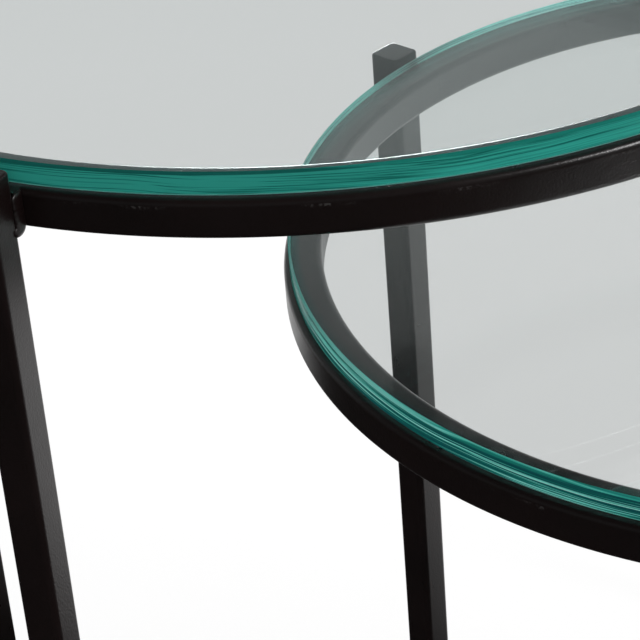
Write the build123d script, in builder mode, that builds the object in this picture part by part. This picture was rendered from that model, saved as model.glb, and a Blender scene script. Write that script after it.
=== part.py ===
"""A pair of round glass nesting tables on welded square-tube frames.

Units are millimetres. +Z is up and z = 0 is the floor. +X is the open side of
the large table, where the small one slides out. The origin lies on the floor,
in the middle of the pair's overall box.
"""

import os
from math import cos, degrees, radians, sin

from build123d import *

# Square steel tube of both frames
tube = 16.0
tube_wall = 1.5
tube_corner = 2.8

# Large table: outside radius of its ring, height to the top of its glass,
# how far the leg tops stay below that, and the angle of each front leg from
# the open side
large_ring_radius = 275.0
large_height = 580.0
large_leg_drop = 0.4
large_front_leg_angle = 78.4

# Small table, with its three legs evenly spaced. Its leg tops pass under the
# large table's ring with this clearance
small_ring_radius = 220.0
small_leg_drop = 1.2
small_front_leg_angle = 60.0
nesting_clearance = 60.0

# Where the small table stands: how far its axis is drawn out from the large
# table's axis, in which direction, and how far it is turned
draw_out = 264.0
draw_angle = -4.0
small_turn = -7.4

# Glass tops, and the clear pads that they lie on
glass_thickness = 9.5
glass_edge_margin = 2.4
glass_arris = 1.0
pad_thickness = 0.5
pad_diameter = 8.0
pad_count = 6

# Legs stand outside the ring, on a short block
leg_gap = 3.3
cap_thickness = 2.0
cap_edge_radius = 1.0

# Plastic foot glides, plugged into the leg tubes
glide_height = 4.0
glide_edge_chamfer = 1.0
glide_plug_length = 14.0
glide_plug_clearance = 0.15

# Welds
ring_weld = 2.4
leg_weld = 1.8
weld_end_margin = 1.0
seam_width = 2.0

os.makedirs("parts", exist_ok=True)

# Hollow of the tube
bore = tube - 2 * tube_wall
bore_corner = tube_corner - tube_wall

# From the top of the glass down to the underside of the ring
top_depth = glass_thickness + pad_thickness + tube
small_height = large_height - top_depth - nesting_clearance + small_leg_drop

large_reach = large_ring_radius + leg_gap + tube
draw_x = draw_out * cos(radians(draw_angle))
draw_y = draw_out * sin(radians(draw_angle))
large_axis = ((large_reach - draw_x - small_ring_radius) / 2, 0)
small_axis = (large_axis[0] + draw_x, large_axis[1] + draw_y)


def save(piece, label):
    """Labels a finished piece and writes it under that name."""
    piece.part.label = label
    export_step(piece.part, f"parts/{label}.step")


def spoke_plane(axis, angle, z):
    """Level plane through a table's axis, with its x direction along a leg's spoke."""
    direction = (cos(radians(angle)), sin(radians(angle)), 0)
    return Plane(origin=(*axis, z), x_dir=direction, z_dir=(0, 0, 1))


def section_plane(axis, angle, z):
    """Upright plane through a table's axis, with its x direction outwards and its y direction up."""
    direction = radians(angle)
    return Plane(
        origin=(*axis, z),
        x_dir=(cos(direction), sin(direction), 0),
        z_dir=(sin(direction), -cos(direction), 0),
    )


def tube_section():
    """Draws the tube's section about the place where it is called."""
    RectangleRounded(tube, tube, tube_corner)
    RectangleRounded(bore, bore, bore_corner, mode=Mode.SUBTRACT)


def make_ring(name, axis, ring_radius, ring_bottom, seam_angle):
    """Tube rolled into a ring, open by the width of its butt weld."""
    half_gap = degrees(seam_width / ring_radius) / 2
    with BuildPart() as ring:
        with BuildSketch(section_plane(axis, seam_angle + half_gap, ring_bottom)):
            with Locations((ring_radius - tube / 2, tube / 2)):
                tube_section()
        revolve(axis=Axis((*axis, 0), (0, 0, 1)), revolution_arc=360 - 2 * half_gap)
    save(ring, f"{name}_ring")


def make_welds(name, axis, ring_radius, ring_bottom, leg_angles, seam_angle):
    """Butt weld of the ring, and the beads beside each spacer block."""
    half_gap = degrees(seam_width / ring_radius) / 2
    leg_face = ring_radius + leg_gap
    with BuildPart() as welds:
        with BuildSketch(section_plane(axis, seam_angle - half_gap, ring_bottom)):
            with Locations((ring_radius - tube / 2, tube / 2)):
                tube_section()
        revolve(axis=Axis((*axis, 0), (0, 0, 1)), revolution_arc=2 * half_gap)
        for angle in leg_angles:
            with BuildSketch(spoke_plane(axis, angle, ring_bottom + weld_end_margin)):
                with Locations((ring_radius, tube / 2), (ring_radius, -tube / 2)):
                    Circle(ring_weld)
                with Locations((leg_face, tube / 2), (leg_face, -tube / 2)):
                    Circle(leg_weld)
                Circle(ring_radius, mode=Mode.SUBTRACT)
                with Locations((leg_face / 2, 0)):
                    Rectangle(leg_face, tube, mode=Mode.SUBTRACT)
                with Locations((leg_face + tube / 2, 0)):
                    RectangleRounded(tube, tube, tube_corner, mode=Mode.SUBTRACT)
            extrude(amount=tube - 2 * weld_end_margin)
    save(welds, f"{name}_weld_beads")


def make_leg(name, place, axis, angle, ring_radius, ring_bottom, leg_top):
    """One leg tube with its spacer block, top cap and foot glide."""
    leg_centre = ring_radius + leg_gap + tube / 2
    with BuildPart() as spacer:
        with BuildSketch(spoke_plane(axis, angle, ring_bottom)):
            with Locations((ring_radius + leg_gap / 2 - tube / 4, 0)):
                Rectangle(leg_gap + tube / 2, tube)
            Circle(ring_radius, mode=Mode.SUBTRACT)
        extrude(amount=tube)
    save(spacer, f"{name}_spacer_{place}")

    with BuildPart() as leg:
        with BuildSketch(spoke_plane(axis, angle, glide_height)):
            with Locations((leg_centre, 0)):
                tube_section()
        extrude(amount=leg_top - cap_thickness - glide_height)
    save(leg, f"{name}_leg_{place}")

    with BuildPart() as cap:
        with BuildSketch(spoke_plane(axis, angle, leg_top - cap_thickness)):
            with Locations((leg_centre, 0)):
                RectangleRounded(tube, tube, tube_corner)
        extrude(amount=cap_thickness)
        fillet(cap.faces().sort_by(Axis.Z)[-1].edges(), radius=cap_edge_radius)
    save(cap, f"{name}_leg_cap_{place}")

    plug_side = bore - 2 * glide_plug_clearance
    with BuildPart() as glide:
        with BuildSketch(spoke_plane(axis, angle, 0)):
            with Locations((leg_centre, 0)):
                RectangleRounded(tube, tube, tube_corner)
        extrude(amount=glide_height)
        chamfer(glide.faces().sort_by(Axis.Z)[0].edges(), length=glide_edge_chamfer)
        with BuildSketch(spoke_plane(axis, angle, glide_height)):
            with Locations((leg_centre, 0)):
                RectangleRounded(plug_side, plug_side, bore_corner)
        extrude(amount=glide_plug_length)
    save(glide, f"{name}_foot_glide_{place}")


def make_top(name, axis, ring_radius, ring_top, seam_angle):
    """Glass disc with ground edges, on clear pads stuck to the ring."""
    pad_offset = 180 / pad_count
    with BuildPart() as pads:
        with BuildSketch(spoke_plane(axis, seam_angle + pad_offset, ring_top)):
            with PolarLocations(ring_radius - tube / 2, pad_count):
                Circle(pad_diameter / 2)
        extrude(amount=pad_thickness)
    save(pads, f"{name}_glass_pads")

    with BuildPart() as glass:
        with BuildSketch(spoke_plane(axis, 0, ring_top + pad_thickness)):
            Circle(ring_radius - glass_edge_margin)
        extrude(amount=glass_thickness)
        chamfer(glass.edges().filter_by(GeomType.CIRCLE), length=glass_arris)
    save(glass, f"{name}_glass_top")


def make_table(name, axis, ring_radius, height, leg_drop, front_leg_angle, turn):
    """Every piece of one table, with its back leg opposite the open side."""
    ring_bottom = height - top_depth
    ring_top = ring_bottom + tube
    leg_places = {
        "back": turn + 180,
        "left": turn + front_leg_angle,
        "right": turn - front_leg_angle,
    }
    seam_angle = leg_places["back"]
    make_ring(name, axis, ring_radius, ring_bottom, seam_angle)
    make_welds(name, axis, ring_radius, ring_bottom, leg_places.values(), seam_angle)
    for place, angle in leg_places.items():
        make_leg(name, place, axis, angle, ring_radius, ring_bottom, height - leg_drop)
    make_top(name, axis, ring_radius, ring_top, seam_angle)


make_table(
    "large", large_axis, large_ring_radius, large_height, large_leg_drop, large_front_leg_angle, 0)
make_table(
    "small", small_axis, small_ring_radius, small_height, small_leg_drop, small_front_leg_angle,
    small_turn)
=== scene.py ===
"""Looks of a pair of round glass nesting tables on welded square-tube frames.

Everything is in metres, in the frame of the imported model: +Z up, the floor at z = 0.
"""

from math import atan2, hypot, pi, radians, sin

import bpy
from bpy.props import FloatProperty, FloatVectorProperty, IntProperty, PointerProperty
from mathutils import Matrix, Vector


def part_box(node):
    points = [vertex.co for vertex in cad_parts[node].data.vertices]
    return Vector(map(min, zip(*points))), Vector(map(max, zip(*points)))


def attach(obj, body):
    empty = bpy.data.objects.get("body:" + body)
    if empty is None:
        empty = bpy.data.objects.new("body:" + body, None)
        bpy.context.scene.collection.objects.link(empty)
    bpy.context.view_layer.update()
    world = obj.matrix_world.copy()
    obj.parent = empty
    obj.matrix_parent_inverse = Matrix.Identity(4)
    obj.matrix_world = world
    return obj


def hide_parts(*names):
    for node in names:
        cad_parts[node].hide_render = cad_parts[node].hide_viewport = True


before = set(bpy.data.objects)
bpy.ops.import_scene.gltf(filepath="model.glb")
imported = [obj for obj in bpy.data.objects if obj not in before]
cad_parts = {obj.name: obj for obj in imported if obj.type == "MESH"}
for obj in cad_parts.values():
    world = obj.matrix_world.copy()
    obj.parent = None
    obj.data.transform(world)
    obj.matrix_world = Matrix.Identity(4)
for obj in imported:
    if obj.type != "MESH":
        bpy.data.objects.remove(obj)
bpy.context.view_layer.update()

bl_info = {
    "name": "Glass nesting tables",
    "version": (1, 0, 0),
    "blender": (4, 5, 0),
    "location": "3D View > Sidebar > Nesting tables",
    "description": "Finishes a pair of glass nesting tables around their packed solids",
    "category": "Add Mesh",
}

TABLES = ("large", "small")
PLACES = ("back", "left", "right")
MM = 0.001

# Heights that differ by less count as one
LEVEL = 0.01 * MM

# From how much two directions agree, and up to how much they are square to each other
ALIKE = 0.9
SQUARE = 0.1

# Side of each glass edge painted brighter as its lit side, and how far that painted light shifts the
# edge's colours
LIT_SIDES = {"large": (0.6, 0.8, 0), "small": (-0.8, 0.6, 0)}
LIT_SHARE = 0.22

# Clouds and streaks to the metre in the glass edges, and how far the clouds make the lines wander
EDGE_CLOUDS = 9
EDGE_STREAKS = 11
EDGE_WANDER = 18

# Mesh attribute that marks where the coat gets scuff marks and a painted highlight line
SCUFF_AND_HIGHLIGHT_EDGE = "scuff_and_highlight_edge"


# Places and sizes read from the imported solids


def middle(node):
    """Centre of a node's box."""
    low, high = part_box(node)
    return (low + high) / 2


def table_axis(table):
    """Point on the floor under the middle of a table's ring."""
    centre = middle(f"{table}_ring")
    return Vector((centre.x, centre.y, 0))


def ring_radius(table):
    """Outside radius of a table's ring."""
    low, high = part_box(f"{table}_ring")
    return (high.x - low.x) / 2


def glass_radius(table):
    """Radius of a table's glass top."""
    low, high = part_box(f"{table}_glass_top")
    return (high.x - low.x) / 2


def tube_side():
    """Outside width of the square tube that both frames are made of."""
    low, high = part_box("large_ring")
    return high.z - low.z


def leg_angle(table, place):
    """Direction of a leg seen from its table's axis."""
    spoke = middle(f"{table}_leg_{place}") - table_axis(table)
    return atan2(spoke.y, spoke.x)


def leg_distance(table, place):
    """Distance of a leg's middle line from its table's axis."""
    spoke = middle(f"{table}_leg_{place}") - table_axis(table)
    return hypot(spoke.x, spoke.y)


def on_spoke(table, place):
    """Matrix that takes x along a leg's spoke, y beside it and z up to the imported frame."""
    return Matrix.Translation(table_axis(table)) @ Matrix.Rotation(leg_angle(table, place), 4, "Z")


# Sizes and colours that a user would change


class FrameFinish(bpy.types.PropertyGroup):
    """Shape and coat of the steel frames."""

    corner_radius: FloatProperty(
        name="Corner radius", description="Outside corner of the square tube",
        default=2.8 * MM, min=0, unit="LENGTH")
    corner_steps: IntProperty(
        name="Corner steps", description="Facets around each corner of the tube",
        default=6, min=2)
    ring_steps: IntProperty(
        name="Ring steps", description="Facets around each ring",
        default=288, min=48)
    cap_edge_radius: FloatProperty(
        name="Cap edge radius", description="Rounding of the closed tops of the legs",
        default=1.2 * MM, min=0, unit="LENGTH")
    block_edge_radius: FloatProperty(
        name="Block edge radius", description="Rounding of the blocks between ring and legs",
        default=0.6 * MM, min=0, unit="LENGTH")
    bead_radius: FloatProperty(
        name="Bead radius", description="Weld beads beside the blocks, from ring to leg",
        default=2.4 * MM, min=0, unit="LENGTH")
    coat_colour: FloatVectorProperty(
        name="Coat colour", description="Black powder coat",
        subtype="COLOR", size=3, min=0, max=1, default=(0.0050, 0.0024, 0.0023))
    # Scuff marks with a painted highlight line along the lower end of the rings' upper outer corners
    scuff_and_highlight_colour: FloatVectorProperty(
        name="Scuff colour", description="Rubbed coat along the rings' upper edges",
        subtype="COLOR", size=3, min=0, max=1, default=(0.038, 0.036, 0.035))


class GlassFinish(bpy.types.PropertyGroup):
    """Shape and colours of the glass tops."""

    arris: FloatProperty(
        name="Arris", description="Width of the ground bevel on both edges of the glass",
        default=1.0 * MM, min=0, unit="LENGTH")
    rim_steps: IntProperty(
        name="Rim steps", description="Facets around each glass top",
        default=288, min=48)
    tint: FloatVectorProperty(
        name="Tint", description="What the glass lets through from face to face",
        subtype="COLOR", size=3, min=0, max=1, default=(0.96, 0.987, 0.982))
    # Painted shade: the deep colour also marks the side of the edge turned from the light
    edge_deep: FloatVectorProperty(
        name="Edge, deep", description="Darkest and bluest lines in the edge of the glass",
        subtype="COLOR", size=3, min=0, max=1, default=(0.010, 0.12, 0.13))
    edge_dark: FloatVectorProperty(
        name="Edge, dark", description="Dark streaks in the edge of the glass",
        subtype="COLOR", size=3, min=0, max=1, default=(0.016, 0.22, 0.185))
    edge_green: FloatVectorProperty(
        name="Edge, green", description="Main colour of the edge of the glass",
        subtype="COLOR", size=3, min=0, max=1, default=(0.020, 0.29, 0.235))
    edge_light: FloatVectorProperty(
        name="Edge, light", description="Lighter streaks in the edge of the glass",
        subtype="COLOR", size=3, min=0, max=1, default=(0.050, 0.53, 0.435))
    # Painted highlights: the bright and pale lines stand for light that the edge catches
    edge_bright: FloatVectorProperty(
        name="Edge, bright", description="Lines in the edge that catch the light",
        subtype="COLOR", size=3, min=0, max=1, default=(0.27, 0.92, 0.82))
    edge_pale: FloatVectorProperty(
        name="Edge, pale", description="Lines in the edge on the side that the light comes from",
        subtype="COLOR", size=3, min=0, max=1, default=(0.52, 1.0, 0.94))
    edge_glow: FloatProperty(
        name="Edge glow", description="Share of the edge's light that comes through from its other side",
        subtype="FACTOR", default=0.75, min=0, max=1)
    rim_width: FloatProperty(
        name="Rim width", description="Strip along the edge that the edge's green light reaches",
        default=4 * MM, min=0, unit="LENGTH")
    # Painted light: the edge's green light, seen in the faces close to the edge, painted in as a tint
    rim_edge_light_tint: FloatVectorProperty(
        name="Rim tint", description="What the glass lets through close to its edge",
        subtype="COLOR", size=3, min=0, max=1, default=(0.45, 0.97, 0.93))


class StageSetting(bpy.types.PropertyGroup):
    """Camera, light and floor around the tables."""

    camera_place: FloatVectorProperty(
        name="Camera place", description="Where the photograph was taken from",
        subtype="TRANSLATION", size=3, default=(0.5184, -0.8089, 0.9698))
    camera_heading: FloatProperty(
        name="Camera heading", description="Turn of the view about the vertical",
        subtype="ANGLE", default=radians(37.716))
    camera_tilt: FloatProperty(
        name="Camera tilt", description="How far the view looks down",
        subtype="ANGLE", default=radians(31.299))
    camera_roll: FloatProperty(
        name="Camera roll", description="How far the camera leans to the right",
        subtype="ANGLE", default=radians(4.709))
    lens: FloatProperty(
        name="Lens", description="Focal length on a 36 mm sensor",
        default=135.15, min=1, unit="CAMERA")
    floor_size: FloatProperty(
        name="Floor size", description="Width of the floor",
        default=16, min=1, unit="LENGTH")
    floor_colour: FloatVectorProperty(
        name="Floor colour", description="Pale floor",
        subtype="COLOR", size=3, min=0, max=1, default=(0.86, 0.86, 0.86))
    ambient: FloatProperty(
        name="Ambient light", description="Even light from all round",
        default=0.8, min=0)
    white_share: FloatProperty(
        name="White share", description="How much of the floor shows as plain background",
        subtype="FACTOR", default=0.93, min=0, max=1)
    white_in_glass: FloatProperty(
        name="White in glass", description="The background's level in and through the glass",
        subtype="FACTOR", default=0.695, min=0, max=1)
    white_in_coat: FloatProperty(
        name="White in coat", description="The background's level in the coat, on the lit side",
        subtype="FACTOR", default=1.0, min=0, max=1)
    sky_in_glass: FloatVectorProperty(
        name="Sky in glass", description="Surroundings that the glass tops mirror",
        subtype="COLOR", size=3, min=0, max=1, default=(0.34, 0.38, 0.38))


# Steps of modelling


def clear_selection():
    """Leaves nothing selected, so that the next operator acts on new work alone."""
    bpy.ops.object.select_all(action="DESELECT")


def start_editing(piece):
    """Makes one piece the only one selected and opens it for editing."""
    clear_selection()
    piece.select_set(True)
    bpy.context.view_layer.objects.active = piece
    bpy.ops.object.mode_set(mode="EDIT")


def pick_edges(piece, wanted):
    """Opens a piece with only those edges selected whose two ends the test accepts."""
    start_editing(piece)
    bpy.ops.mesh.select_mode(type="EDGE")
    bpy.ops.mesh.select_all(action="DESELECT")
    bpy.ops.object.mode_set(mode="OBJECT")
    corners = piece.data.vertices
    for edge in piece.data.edges:
        edge.select = wanted(*(corners[i].co for i in edge.vertices))
    bpy.ops.object.mode_set(mode="EDIT")


def settle(piece):
    """Puts a new primitive's place into its mesh."""
    clear_selection()
    piece.select_set(True)
    bpy.context.view_layer.objects.active = piece
    bpy.ops.object.transform_apply(location=True, rotation=True, scale=True)


def apply_modifier(piece, kind, **settings):
    """Adds a modifier to a piece and applies it."""
    bpy.context.view_layer.objects.active = piece
    bpy.ops.object.modifier_add(type=kind)
    modifier = piece.modifiers[-1]
    for name, value in settings.items():
        setattr(modifier, name, value)
    bpy.ops.object.modifier_apply(modifier=modifier.name)


def close_up(piece, smooth_angle=40):
    """Ends editing: faces outwards, smooth shading across soft edges, flat faces kept flat."""
    bpy.ops.mesh.select_all(action="SELECT")
    bpy.ops.mesh.remove_doubles(threshold=0.001 * MM)
    bpy.ops.mesh.normals_make_consistent(inside=False)
    bpy.ops.object.mode_set(mode="OBJECT")
    bpy.ops.object.shade_smooth_by_angle(angle=radians(smooth_angle))
    apply_modifier(piece, "WEIGHTED_NORMAL", keep_sharp=True)


def join(pieces, name):
    """Joins finished meshes into one piece."""
    clear_selection()
    for piece in pieces:
        piece.select_set(True)
    bpy.context.view_layer.objects.active = pieces[0]
    bpy.ops.object.join()
    pieces[0].name = name
    return pieces[0]


def copy_at(piece, matrix):
    """Copy of a piece, with its own mesh, moved by a matrix."""
    copy = piece.copy()
    copy.data = piece.data.copy()
    copy.data.transform(matrix)
    bpy.context.collection.objects.link(copy)
    return copy


def hand_over(piece, name, body, slot, materials, *nodes):
    """Names a finished piece, dresses it and lets it ride in place of its nodes."""
    piece.name = name
    piece.data.name = name
    piece.data.materials.clear()
    for material in materials:
        piece.data.materials.append(material)
    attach(piece, body)
    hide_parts(*nodes)


# Materials


class Shader:
    """Short way to write the nodes of a material or of the world."""

    def __init__(self, tree):
        self.tree = tree
        self.surface = tree.nodes.get("Principled BSDF")
        self.coordinates = self.add("ShaderNodeTexCoord").outputs
        self.place = self.coordinates["Object"]

    def add(self, kind, inputs=None, **settings):
        """Adds a node, sets it up and feeds its inputs with values or links."""
        node = self.tree.nodes.new(kind)
        for name, value in settings.items():
            setattr(node, name, value)
        for name, value in (inputs or {}).items():
            self.feed(node.inputs[name], value)
        return node

    def feed(self, socket, value):
        """Links or sets one input."""
        if isinstance(value, bpy.types.NodeSocket):
            self.tree.links.new(value, socket)
        else:
            socket.default_value = value

    def set(self, **values):
        """Feeds the surface's inputs, whose names have underscores for spaces."""
        for name, value in values.items():
            self.feed(self.surface.inputs[name.replace("_", " ")], value)

    def blend(self, share, first, second):
        """Mix of two shaders, with a share of the second."""
        return self.add("ShaderNodeMixShader", {0: share, 1: first.outputs[0], 2: second.outputs[0]})

    def show(self, shader):
        """Makes a shader the one that a material shows."""
        self.feed(self.tree.nodes["Material Output"].inputs["Surface"], shader.outputs[0])

    def noise(self, scale, detail=2.0, roughness=0.5, place=None):
        """Cloudy pattern from 0 to 1, with so many clouds to the metre."""
        inputs = {"Vector": place or self.place, "Scale": scale, "Detail": detail, "Roughness": roughness}
        return self.add("ShaderNodeTexNoise", inputs).outputs["Fac"]

    def stretch(self, value, low, high, to_low=0.0, to_high=1.0):
        """Spreads one range of a value over another."""
        inputs = {"Value": value, "From Min": low, "From Max": high, "To Min": to_low, "To Max": to_high}
        return self.add("ShaderNodeMapRange", inputs).outputs["Result"]

    def math(self, operation, first, second):
        """One sum of two values."""
        return self.add("ShaderNodeMath", {0: first, 1: second}, operation=operation).outputs[0]

    def dot(self, first, second):
        """Product of two directions, as one value."""
        product = self.add("ShaderNodeVectorMath", {0: first, 1: second}, operation="DOT_PRODUCT")
        return product.outputs["Value"]

    def along(self, direction):
        """How far each point lies along a direction."""
        return self.dot(self.place, direction)

    def ramp(self, value, *stops):
        """Colours along a value, each stop a place and a colour."""
        node = self.add("ShaderNodeValToRGB", {"Fac": value})
        points = node.color_ramp.elements
        while len(points) < len(stops):
            points.new(0.5)
        for point, (place, colour) in zip(points, stops):
            point.position = place
            point.color = (*colour, 1)
        return node.outputs["Color"]

    def bump(self, height, strength, distance):
        """Raised and sunk grain."""
        inputs = {"Height": height, "Strength": strength, "Distance": distance}
        return self.add("ShaderNodeBump", inputs).outputs["Normal"]


def start_material(name):
    """New material, with the short way to write its nodes."""
    material = bpy.data.materials.new(name)
    material.use_nodes = True
    return material, Shader(material.node_tree)


def shade_of(colour, factor):
    """The same colour, lighter or darker."""
    return tuple(min(1.0, part * factor) for part in colour)


def powder_coat():
    """Satin black powder coat with fine grain, and scuff marks with a painted highlight line where the
    mesh attribute marks the rings' upper outer corners.
    """
    finish = bpy.context.scene.nesting_frame
    material, shader = start_material("black_powder_coat")
    dark = shade_of(finish.coat_colour, 0.75)
    light = shade_of(finish.coat_colour, 1.3)
    coat = shader.ramp(shader.noise(18, detail=4), (0.3, dark), (0.7, light))
    marked = shader.add("ShaderNodeAttribute", attribute_name=SCUFF_AND_HIGHLIGHT_EDGE).outputs["Fac"]
    # Scuff marks and a painted highlight line along the marked corner, broken into patches and flecks
    scuff_and_highlight_zone = shader.stretch(marked, 0.88, 0.97)
    patches = shader.stretch(shader.noise(32, detail=5, roughness=0.65), 0.52, 0.62)
    flecks = shader.stretch(shader.noise(900), 0.48, 0.6)
    scuffs_and_highlight = shader.math("MULTIPLY", scuff_and_highlight_zone, shader.math("MULTIPLY", patches, flecks))
    layers = {"Factor": scuffs_and_highlight, "A": coat, "B": (*finish.scuff_and_highlight_colour, 1)}
    grain = shader.noise(1000)
    shader.set(
        Base_Color=shader.add("ShaderNodeMix", layers, data_type="RGBA").outputs["Result"],
        Roughness=shader.stretch(shader.noise(90, detail=3), 0.25, 0.75, 0.27, 0.32),
        Specular_IOR_Level=0.5,
        Normal=shader.bump(grain, 0.7, 0.12 * MM),
    )
    return material


def clear_faces(table):
    """Flat faces of the float glass: clear, a little grey-green, with the edge's green light painted in
    as a greener tint close to the edge.
    """
    finish = bpy.context.scene.nesting_glass
    rim = glass_radius(table) - finish.arris
    material, shader = start_material(f"{table}_clear_glass")
    level_spoke = {0: shader.place, 1: (1, 1, 0), 2: -table_axis(table)}
    spoke = shader.add("ShaderNodeVectorMath", level_spoke, operation="MULTIPLY_ADD").outputs[0]
    distance = shader.add("ShaderNodeVectorMath", {0: spoke}, operation="LENGTH").outputs["Value"]
    near_edge = shader.stretch(distance, rim - finish.rim_width, rim)
    shader.set(
        Base_Color=shader.ramp(near_edge, (0, finish.tint), (1, finish.rim_edge_light_tint)),
        Roughness=shader.stretch(shader.noise(18, detail=5), 0.45, 0.8, 0.0, 0.012),
        IOR=1.5,
        Transmission_Weight=1.0,
    )
    return material


def glass_edge(name, table, stops, line_share, depth_share=0.0, fineness=1500):
    """Edge of the glass: green from the long way that light goes inside it, in drawn-out lines.

    Its colours follow a level. Slow clouds, the lines, the height in the edge and painted light from the
    side that the light comes from all shift that level.
    """
    finish = bpy.context.scene.nesting_glass
    low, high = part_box(f"{table}_glass_top")
    material, shader = start_material(name)
    cloud = shader.noise(EDGE_CLOUDS)
    drift = shader.stretch(cloud, 0, 1, 0.2, 0.8)
    height = shader.add("ShaderNodeSeparateXYZ", {"Vector": shader.place}).outputs["Z"]
    depth = shader.stretch(height, low.z, high.z, -depth_share / 2, depth_share / 2)
    drawn_out = {"Vector": shader.place, "Scale": (EDGE_STREAKS, EDGE_STREAKS, fineness)}
    flattened = shader.add("ShaderNodeMapping", drawn_out).outputs[0]
    rise = shader.math("MULTIPLY", cloud, EDGE_WANDER)
    wander = shader.add("ShaderNodeCombineXYZ", {"Z": rise}).outputs[0]
    wandering = shader.add("ShaderNodeVectorMath", {0: flattened, 1: wander}, operation="ADD").outputs[0]
    lines = shader.stretch(shader.noise(1, place=wandering), 0, 1, -line_share, line_share)
    # Painted light: the edge is painted lighter toward its lit side and darker away from it
    side = LIT_SIDES[table]
    centre = table_axis(table).dot(Vector(side))
    reach = glass_radius(table)
    lit = shader.stretch(shader.along(side), centre - reach, centre + reach, -LIT_SHARE, LIT_SHARE)
    level = shader.math("ADD", shader.math("ADD", depth, drift), shader.math("ADD", lines, lit))
    colour = shader.ramp(level, *stops)
    shader.set(
        Base_Color=colour,
        Roughness=shader.stretch(level, 0.3, 0.7, 0.12, 0.05),
        Specular_IOR_Level=0.3,
    )
    through = shader.add("ShaderNodeBsdfTranslucent", {"Color": colour})
    shader.show(shader.blend(finish.edge_glow, shader.surface, through))
    return material


def large_edge():
    """Edge of the large glass top, in quiet bands, with painted shade darkening it toward its top."""
    glass = bpy.context.scene.nesting_glass
    stops = (
        (0.08, glass.edge_dark), (0.15, glass.edge_green), (0.21, glass.edge_light),
        (0.41, glass.edge_light), (0.45, glass.edge_green), (0.47, glass.edge_dark),
        (0.50, glass.edge_green), (0.56, glass.edge_light), (0.72, shade_of(glass.edge_light, 1.35)),
    )
    return glass_edge("large_glass_edge", "large", stops, line_share=0.45, depth_share=-0.2)


def small_edge():
    """Edge of the small glass top, in fine dark lines and bright lines of painted highlight."""
    glass = bpy.context.scene.nesting_glass
    stops = (
        (0.18, glass.edge_deep), (0.35, glass.edge_dark), (0.46, glass.edge_green),
        (0.54, glass.edge_light), (0.66, glass.edge_bright), (0.84, glass.edge_bright),
        (0.97, glass.edge_pale),
    )
    return glass_edge("small_glass_edge", "small", stops, line_share=1.7, depth_share=0.2, fineness=2200)


def large_arris():
    """Upper ground bevel of the large glass top, mostly dark with painted shade."""
    glass = bpy.context.scene.nesting_glass
    stops = ((0.40, shade_of(glass.edge_dark, 0.7)), (0.54, glass.edge_green))
    return glass_edge("large_glass_arris", "large", stops, line_share=0.2)


def small_arris():
    """Upper ground bevel of the small glass top, painted bright as a highlight where it catches the
    light.
    """
    glass = bpy.context.scene.nesting_glass
    stops = (
        (0.24, glass.edge_green), (0.35, glass.edge_light),
        (0.43, glass.edge_bright), (0.70, glass.edge_pale),
    )
    return glass_edge("small_glass_arris", "small", stops, line_share=0.4)


def lower_arris():
    """Lower ground bevels of both glass tops, painted bright as if lit from below."""
    glass = bpy.context.scene.nesting_glass
    stops = (
        (0.30, shade_of(glass.edge_bright, 0.8)), (0.50, glass.edge_bright), (0.70, glass.edge_pale),
    )
    return glass_edge("lower_glass_arris", "large", stops, line_share=0.5)


def moulded_plastic():
    """Black plastic of the foot glides, with a spark-eroded grain."""
    material, shader = start_material("black_moulded_plastic")
    dark = (0.010, 0.010, 0.011)
    light = (0.017, 0.017, 0.018)
    grain = shader.noise(2400, detail=1)
    shader.set(
        Base_Color=shader.ramp(shader.noise(60, detail=3), (0.3, dark), (0.7, light)),
        Roughness=shader.stretch(shader.noise(240), 0.3, 0.7, 0.5, 0.62),
        Specular_IOR_Level=0.3,
        Normal=shader.bump(grain, 0.2, 0.08 * MM),
    )
    return material


def clear_silicone():
    """Soft clear pads under the glass, a little cloudy."""
    material, shader = start_material("clear_silicone")
    shader.set(
        Base_Color=(0.93, 0.95, 0.94, 1),
        Roughness=shader.stretch(shader.noise(400), 0.3, 0.7, 0.12, 0.25),
        IOR=1.15,
        Transmission_Weight=1.0,
    )
    return material


def shared(make):
    """The material that a function makes, made once."""
    if make not in shared.made:
        shared.made[make] = make()
    return shared.made[make]


shared.made = {}
EDGES = {"large": large_edge, "small": small_edge}
BEVELS = {"large": large_arris, "small": small_arris}


# Pieces


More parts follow.
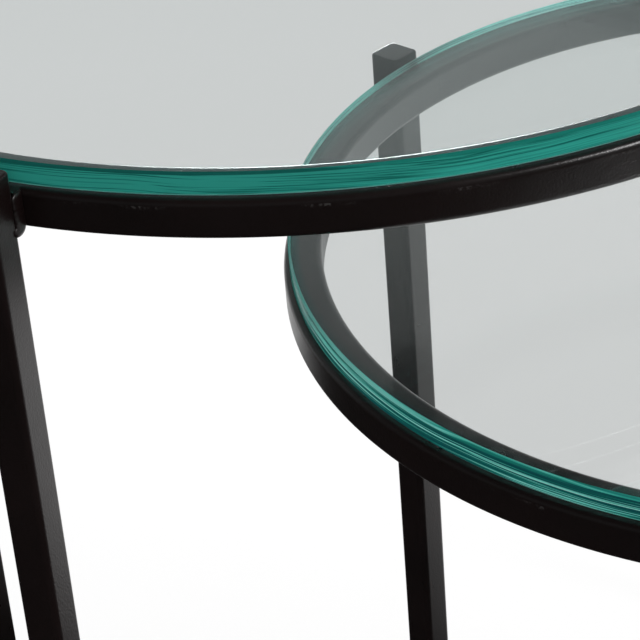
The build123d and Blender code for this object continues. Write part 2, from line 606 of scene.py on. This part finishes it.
class NESTING_OT_rings(bpy.types.Operator):
    """Roll the square tube into the ring of each table"""

    bl_idname = "nesting_tables.rings"
    bl_label = "Rings"

    def execute(self, context):
        for table in TABLES:
            self.roll(table, context.scene.nesting_frame)
        return {"FINISHED"}

    def roll(self, table, finish):
        """Spins the tube's rounded section about the table's axis."""
        axis = table_axis(table)
        radius = ring_radius(table)
        side = tube_side()
        height = middle(f"{table}_ring").z
        clear_selection()
        bpy.ops.mesh.primitive_plane_add(
            size=side, location=(axis.x + radius - side / 2, axis.y, height), rotation=(pi / 2, 0, 0))
        ring = bpy.context.object
        settle(ring)
        start_editing(ring)
        bpy.ops.mesh.select_all(action="SELECT")
        bpy.ops.mesh.bevel(
            offset=finish.corner_radius, segments=finish.corner_steps, affect="VERTICES")
        bpy.ops.mesh.select_all(action="SELECT")
        bpy.ops.mesh.delete(type="ONLY_FACE")
        bpy.ops.mesh.select_all(action="SELECT")
        bpy.ops.mesh.spin(
            steps=finish.ring_steps, angle=2 * pi, center=(axis.x, axis.y, 0), axis=(0, 0, 1))
        close_up(ring)
        self.mark_scuff_and_highlight_edge(ring, axis, radius, height + side / 2, finish.corner_radius)
        hand_over(
            ring, f"{table}_ring_tube", f"{table}_frame", "black_frame",
            [shared(powder_coat)], f"{table}_ring")

    def mark_scuff_and_highlight_edge(self, ring, axis, radius, top, reach):
        """Writes how near each point lies to the lower end of the ring's upper outer corner, where the
        scuff marks and the painted highlight line go.
        """
        marks = []
        for corner in ring.data.vertices:
            out = hypot(corner.co.x - axis.x, corner.co.y - axis.y)
            gap = hypot(radius - out, top - reach - corner.co.z)
            marks.append(max(0.0, 1 - gap / reach))
        scuff_and_highlight_zone = ring.data.attributes.new(SCUFF_AND_HIGHLIGHT_EDGE, "FLOAT", "POINT")
        scuff_and_highlight_zone.data.foreach_set("value", marks)


class NESTING_OT_legs(bpy.types.Operator):
    """Stand the leg tubes, with their closed tops, outside the rings"""

    bl_idname = "nesting_tables.legs"
    bl_label = "Legs"

    def execute(self, context):
        for table in TABLES:
            for place in PLACES:
                self.stand(table, place, context.scene.nesting_frame)
        return {"FINISHED"}

    def stand(self, table, place, finish):
        """Rounds the long corners of one tube, then the edge of its welded cap."""
        side = tube_side()
        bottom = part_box(f"{table}_leg_{place}")[0].z
        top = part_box(f"{table}_leg_cap_{place}")[1].z
        centre = middle(f"{table}_leg_{place}")
        clear_selection()
        bpy.ops.mesh.primitive_cube_add(
            size=1, location=(centre.x, centre.y, (bottom + top) / 2),
            rotation=(0, 0, leg_angle(table, place)), scale=(side, side, top - bottom))
        leg = bpy.context.object
        settle(leg)
        pick_edges(leg, lambda a, b: abs(a.z - b.z) > side)
        bpy.ops.mesh.bevel(
            offset=finish.corner_radius, segments=finish.corner_steps, affect="EDGES")
        bpy.ops.object.mode_set(mode="OBJECT")
        pick_edges(leg, lambda a, b: min(a.z, b.z) > top - LEVEL)
        bpy.ops.mesh.bevel(offset=finish.cap_edge_radius, segments=4, affect="EDGES")
        close_up(leg)
        hand_over(
            leg, f"{table}_leg_{place}_tube", f"{table}_frame", "black_frame",
            [shared(powder_coat)], f"{table}_leg_{place}", f"{table}_leg_cap_{place}")


class NESTING_OT_spacer_blocks(bpy.types.Operator):
    """Set the short blocks between the rings and the legs"""

    bl_idname = "nesting_tables.spacer_blocks"
    bl_label = "Spacer blocks"

    def execute(self, context):
        for table in TABLES:
            for place in PLACES:
                self.fit(table, place, context.scene.nesting_frame)
        return {"FINISHED"}

    def fit(self, table, place, finish):
        """Block from inside the ring's rounded corners to the leg's face."""
        side = tube_side()
        inner = ring_radius(table) - finish.corner_radius
        outer = leg_distance(table, place) - side / 2
        height = middle(f"{table}_ring").z
        centre = on_spoke(table, place) @ Vector(((inner + outer) / 2, 0, height))
        clear_selection()
        bpy.ops.mesh.primitive_cube_add(
            size=1, location=centre, rotation=(0, 0, leg_angle(table, place)),
            scale=(outer - inner, side, side))
        block = bpy.context.object
        settle(block)
        along = on_spoke(table, place).to_3x3() @ Vector((1, 0, 0))
        pick_edges(block, lambda a, b: abs((a - b).normalized().dot(along)) > ALIKE)
        bpy.ops.mesh.bevel(offset=finish.block_edge_radius, segments=4, affect="EDGES")
        close_up(block)
        hand_over(
            block, f"{table}_spacer_{place}_block", f"{table}_frame", "black_frame",
            [shared(powder_coat)], f"{table}_spacer_{place}")


class NESTING_OT_weld_beads(bpy.types.Operator):
    """Lay the rippled weld beads beside the blocks, and the dressed butt welds of the rings"""

    bl_idname = "nesting_tables.weld_beads"
    bl_label = "Weld beads"

    ripple_step = 0.9 * MM
    toe_drops = 2
    drop_shape = (1.7, 0.45, 1)
    voxel = 0.3 * MM
    collar_width = 3.0 * MM
    collar_rise = 0.04 * MM

    def execute(self, context):
        finish = context.scene.nesting_frame
        bead = self.bead(finish.bead_radius)
        for table in TABLES:
            self.lay(table, bead, finish)
        bpy.data.objects.remove(bead)
        return {"FINISHED"}

    def swell(self, i):
        """Uneven size of the drops, as in a weld laid by hand."""
        return 1 + 0.04 * sin(2.3 * i) + 0.03 * sin(1 + 5.1 * i)

    def bead(self, radius):
        """One upright bead at the origin, with a toe on the leg: drops of metal, melted together."""
        length = tube_side() - 2 * radius
        count = round(length / self.ripple_step) + 1
        spots = [(0, length * (i / (count - 1) - 0.5)) for i in range(count)]
        toe_step = radius * 0.3
        spots += [(toe_step * i, -length / 2 - toe_step * i) for i in range(1, self.toe_drops + 1)]
        drops = []
        for i, (out, up) in enumerate(spots):
            clear_selection()
            bpy.ops.mesh.primitive_uv_sphere_add(
                segments=20, ring_count=12, radius=radius * self.swell(i), scale=self.drop_shape,
                location=(out, 0, up))
            settle(bpy.context.object)
            drops.append(bpy.context.object)
        bead = join(drops, "bead")
        apply_modifier(bead, "REMESH", mode="VOXEL", voxel_size=self.voxel)
        apply_modifier(bead, "SMOOTH", factor=0.5, iterations=8)
        bpy.ops.object.shade_smooth()
        return bead

    def lay(self, table, bead, finish):
        """Copies the bead to both sides of each block and joins them with the butt weld."""
        side = tube_side()
        height = middle(f"{table}_ring").z
        runs = [self.collar(table, finish)]
        for place in PLACES:
            leg_face = leg_distance(table, place) - side / 2
            for hand in (-1, 1):
                spot = Matrix.Translation(((ring_radius(table) + leg_face) / 2, hand * side / 2, height))
                runs.append(copy_at(bead, on_spoke(table, place) @ spot))
        welds = join(runs, f"{table}_welds")
        hand_over(
            welds, f"{table}_weld_runs", f"{table}_frame", "black_frame",
            [shared(powder_coat)], f"{table}_weld_beads")

    def collar(self, table, finish):
        """Dressed butt weld: a low band around the ring's tube at its seam."""
        side = tube_side()
        section = side + 2 * self.collar_rise
        seam = Vector((ring_radius(table) - side / 2, 0, middle(f"{table}_ring").z))
        clear_selection()
        bpy.ops.mesh.primitive_cube_add(
            size=1, location=on_spoke(table, "back") @ seam,
            rotation=(0, 0, leg_angle(table, "back")), scale=(section, self.collar_width, section))
        collar = bpy.context.object
        settle(collar)
        along = on_spoke(table, "back").to_3x3() @ Vector((0, 1, 0))
        pick_edges(collar, lambda a, b: abs((a - b).normalized().dot(along)) > ALIKE)
        bpy.ops.mesh.bevel(
            offset=finish.corner_radius, segments=finish.corner_steps, affect="EDGES")
        bpy.ops.object.mode_set(mode="OBJECT")
        pick_edges(collar, lambda a, b: abs((a - b).normalized().dot(along)) < SQUARE)
        bpy.ops.mesh.bevel(offset=self.collar_width / 3, segments=4, affect="EDGES")
        close_up(collar)
        return collar


class NESTING_OT_glass_tops(bpy.types.Operator):
    """Lay the clear glass discs, with ground and polished edges, on the rings"""

    bl_idname = "nesting_tables.glass_tops"
    bl_label = "Glass tops"

    def execute(self, context):
        for table in TABLES:
            self.cut(table, context.scene.nesting_glass)
        return {"FINISHED"}

    def cut(self, table, finish):
        """Disc with a bevel on both edges, its faces sorted into face, edge and bevel."""
        low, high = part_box(f"{table}_glass_top")
        clear_selection()
        bpy.ops.mesh.primitive_cylinder_add(
            vertices=finish.rim_steps, radius=glass_radius(table), depth=high.z - low.z,
            location=middle(f"{table}_glass_top"))
        glass = bpy.context.object
        settle(glass)
        pick_edges(glass, lambda a, b: abs(a.z - b.z) < LEVEL)
        bpy.ops.mesh.bevel(offset=finish.arris, segments=1, affect="EDGES")
        close_up(glass, smooth_angle=30)
        hand_over(
            glass, f"{table}_glass_disc", f"{table}_glass", "clear_glass",
            [clear_faces(table), shared(EDGES[table]), shared(BEVELS[table]), shared(lower_arris)],
            f"{table}_glass_top")
        for face in glass.data.polygons:
            face.material_index = self.finish_of(face.normal.z)

    def finish_of(self, lift):
        """Place in the disc's list of materials for a face, by how far the face looks up."""
        if abs(lift) > ALIKE:
            return 0
        if abs(lift) < SQUARE:
            return 1
        return 2 if lift > 0 else 3


class NESTING_OT_glass_pads(bpy.types.Operator):
    """Stick the clear pads, slightly domed, on the rings"""

    bl_idname = "nesting_tables.glass_pads"
    bl_label = "Glass pads"

    count = 6
    diameter = 8 * MM
    clearance = 0.04 * MM
    dome_share = 0.8

    def execute(self, context):
        for table in TABLES:
            self.stick(table)
        return {"FINISHED"}

    def stick(self, table):
        """Six pads, spread from halfway beside the ring's seam."""
        low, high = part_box(f"{table}_glass_pads")
        height = high.z - low.z - self.clearance
        out = ring_radius(table) - tube_side() / 2
        pads = []
        for i in range(self.count):
            turn = Matrix.Rotation(2 * pi * (i + 0.5) / self.count, 4, "Z")
            spot = on_spoke(table, "back") @ turn @ Vector((out, 0, low.z + height / 2))
            clear_selection()
            bpy.ops.mesh.primitive_cylinder_add(
                vertices=40, radius=self.diameter / 2, depth=height, location=spot)
            pad = bpy.context.object
            settle(pad)
            pick_edges(pad, lambda a, b: min(a.z, b.z) > low.z + height - LEVEL)
            bpy.ops.mesh.bevel(offset=height * self.dome_share, segments=3, affect="EDGES")
            close_up(pad)
            pads.append(pad)
        hand_over(
            join(pads, f"{table}_pads"), f"{table}_clear_pads", f"{table}_frame", "clear_pad",
            [shared(clear_silicone)], f"{table}_glass_pads")


class NESTING_OT_foot_glides(bpy.types.Operator):
    """Finish the plastic glides under the legs"""

    bl_idname = "nesting_tables.foot_glides"
    bl_label = "Foot glides"

    def execute(self, context):
        for table in TABLES:
            for place in PLACES:
                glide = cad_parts[f"{table}_foot_glide_{place}"]
                glide.data.materials.clear()
                glide.data.materials.append(shared(moulded_plastic))
        return {"FINISHED"}


class NESTING_OT_stage(bpy.types.Operator):
    """Set up the pale floor, the soft light and the camera"""

    bl_idname = "nesting_tables.stage"
    bl_label = "Stage"

    # Direction of the lit side, and where the floor brightens along it in the coat
    bright_side = (-0.1, 0.995, 0)
    bright_from = 0.09
    bright_to = 0.3
    dim_in_coat = 0.02

    # How much of the sky the tables mirror, by height
    sky_fade = ((0.42, 1), (0.50, 0.65), (0.54, 0.35), (0.57, 0.08))
    sensor_width = 36

    def execute(self, context):
        setting = context.scene.nesting_stage
        context.scene.view_settings.view_transform = "Standard"
        self.lay_floor(setting)
        self.light_world(context, setting)
        self.hang_lamp(
            "overhead", place=(0.08, 0.24, 2.0), target=(0, 0, 0.3), size=1.3, watts=14, mirrored=False)
        self.hang_lamp("right_side", place=(1.7, 0.3, 1.9), target=(0, 0, 0.5), size=0.5, watts=26)
        self.hang_lamp("behind", place=(-0.9, 1.1, 0.4), target=(0, 0.1, 0.5), size=0.3, watts=8)
        self.place_camera(context, setting)
        return {"FINISHED"}

    def lay_floor(self, setting):
        """Pale floor that shows white, is dimmer in the glass and the coat, and keeps a shadow."""
        clear_selection()
        bpy.ops.mesh.primitive_plane_add(size=setting.floor_size, location=(0, 0, 0))
        floor = bpy.context.object
        floor.name = "floor"
        material, shader = start_material("pale_floor")
        shader.set(Base_Color=(*setting.floor_colour, 1), Roughness=0.9, Specular_IOR_Level=0.0)
        rays = shader.add("ShaderNodeLightPath").outputs
        seen = rays["Is Camera Ray"]
        through = rays["Is Transmission Ray"]
        in_glass = shader.math("MULTIPLY", through, setting.white_in_glass)
        lit = shader.stretch(
            shader.along(self.bright_side), self.bright_from, self.bright_to,
            self.dim_in_coat, setting.white_in_coat)
        in_coat = shader.math("MULTIPLY", lit, shader.math("SUBTRACT", 1, through))
        level = shader.math("MAXIMUM", seen, shader.math("ADD", in_glass, in_coat))
        glow = shader.add("ShaderNodeEmission", {"Color": (1, 1, 1, 1), "Strength": level})
        mirrored = shader.math("MAXIMUM", rays["Is Glossy Ray"], through)
        share = shader.math("MAXIMUM", shader.math("MULTIPLY", seen, setting.white_share), mirrored)
        shader.show(shader.blend(share, shader.surface, glow))
        floor.data.materials.append(material)

    def light_world(self, context, setting):
        """White surroundings, dimmer overhead in reflections, and an even light."""
        world = bpy.data.worlds.new("studio")
        context.scene.world = world
        world.use_nodes = True
        world.node_tree.nodes.clear()
        shader = Shader(world.node_tree)
        rays = shader.add("ShaderNodeLightPath").outputs
        direction = shader.coordinates["Generated"]
        height = shader.add("ShaderNodeSeparateXYZ", {"Vector": direction}).outputs["Z"]
        sky = [(place, shade_of(setting.sky_in_glass, share)) for place, share in self.sky_fade]
        dimmed = shader.ramp(height, *sky)
        front = shader.stretch(shader.dot(direction, self.bright_side), low=-0.3, high=0.2, to_low=0.25)
        mirrored = shader.add("ShaderNodeBackground", {"Color": dimmed, "Strength": front})
        even = shader.add("ShaderNodeBackground", {"Color": (1, 1, 1, 1), "Strength": setting.ambient})
        white = shader.add("ShaderNodeBackground", {"Color": (1, 1, 1, 1), "Strength": 1})
        in_mirror = shader.math("MAXIMUM", rays["Is Glossy Ray"], rays["Is Transmission Ray"])
        unseen = shader.blend(in_mirror, even, mirrored)
        shown = shader.blend(rays["Is Camera Ray"], unseen, white)
        shader.add("ShaderNodeOutputWorld", {"Surface": shown.outputs[0]})

    def hang_lamp(self, name, place, target, size, watts, mirrored=True):
        """Square soft box that faces a point, with or without its image in the glass and the coat."""
        facing = (Vector(target) - Vector(place)).to_track_quat("-Z", "Y").to_euler()
        bpy.ops.object.light_add(type="AREA", location=place, rotation=facing)
        lamp = bpy.context.object
        lamp.name = name
        lamp.data.size = size
        lamp.data.energy = watts
        lamp.visible_glossy = mirrored
        lamp.visible_transmission = False

    def place_camera(self, context, setting):
        """Camera where the photograph was taken."""
        turn = (
            Matrix.Rotation(setting.camera_heading, 4, "Z")
            @ Matrix.Rotation(pi / 2 - setting.camera_tilt, 4, "X")
            @ Matrix.Rotation(-setting.camera_roll, 4, "Z")
        )
        bpy.ops.object.camera_add(location=setting.camera_place, rotation=turn.to_euler())
        camera = bpy.context.object
        camera.data.sensor_width = self.sensor_width
        camera.data.lens = setting.lens
        context.scene.camera = camera


class NESTING_PT_panel(bpy.types.Panel):
    """Sidebar panel with each step of the tables"""

    bl_idname = "NESTING_PT_panel"
    bl_label = "Nesting tables"
    bl_space_type = "VIEW_3D"
    bl_region_type = "UI"
    bl_category = "Nesting tables"

    def draw(self, context):
        for holder in GROUPS:
            group = getattr(context.scene, holder)
            box = self.layout.box()
            for name in group.__annotations__:
                box.prop(group, name)
        for step in STEPS:
            self.layout.operator(step.bl_idname)


GROUPS = {"nesting_frame": FrameFinish, "nesting_glass": GlassFinish, "nesting_stage": StageSetting}
STEPS = (
    NESTING_OT_rings,
    NESTING_OT_legs,
    NESTING_OT_spacer_blocks,
    NESTING_OT_weld_beads,
    NESTING_OT_glass_tops,
    NESTING_OT_glass_pads,
    NESTING_OT_foot_glides,
    NESTING_OT_stage,
)
CLASSES = (*GROUPS.values(), *STEPS, NESTING_PT_panel)


def register():
    for item in CLASSES:
        bpy.utils.register_class(item)
    for name, group in GROUPS.items():
        setattr(bpy.types.Scene, name, PointerProperty(type=group))


def unregister():
    for name in GROUPS:
        delattr(bpy.types.Scene, name)
    for item in reversed(CLASSES):
        bpy.utils.unregister_class(item)


def main():
    """Builds every piece in order."""
    register()
    bpy.ops.nesting_tables.rings()
    bpy.ops.nesting_tables.legs()
    bpy.ops.nesting_tables.spacer_blocks()
    bpy.ops.nesting_tables.weld_beads()
    bpy.ops.nesting_tables.glass_tops()
    bpy.ops.nesting_tables.glass_pads()
    bpy.ops.nesting_tables.foot_glides()
    bpy.ops.nesting_tables.stage()


if __name__ == "__main__":
    main()
